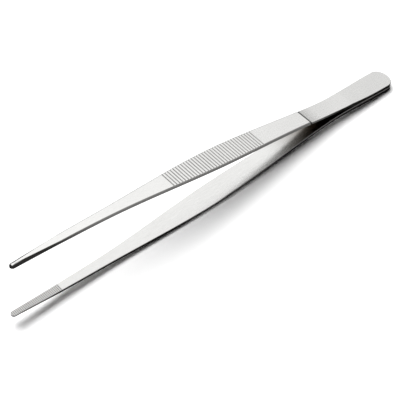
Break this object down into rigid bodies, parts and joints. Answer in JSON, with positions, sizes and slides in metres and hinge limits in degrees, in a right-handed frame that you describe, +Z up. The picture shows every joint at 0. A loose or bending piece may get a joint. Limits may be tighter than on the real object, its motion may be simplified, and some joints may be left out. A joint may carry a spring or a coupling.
{
  "type": "thumb forceps",
  "caption": "Straight dressing forceps: two sprung steel leaves welded at a round head, with a cross-ribbed grip and narrow toothed jaws.",
  "frame": {"origin": "centre of the bounding box on the surface that the tool lies on", "axes": "+X along the tool towards the welded head, with the jaw tips towards -X; +Y across the width of the leaves; +Z up, with the tool lying on its lower leaf"},
  "size_m": [0.2006, 0.0104, 0.0348],
  "materials": {
    "leaf_steel": "satin"
  },
  "bodies": {
    "root": {"upper_leaf": "leaf_steel", "lower_leaf": "leaf_steel"}
  },
  "joints": []
}
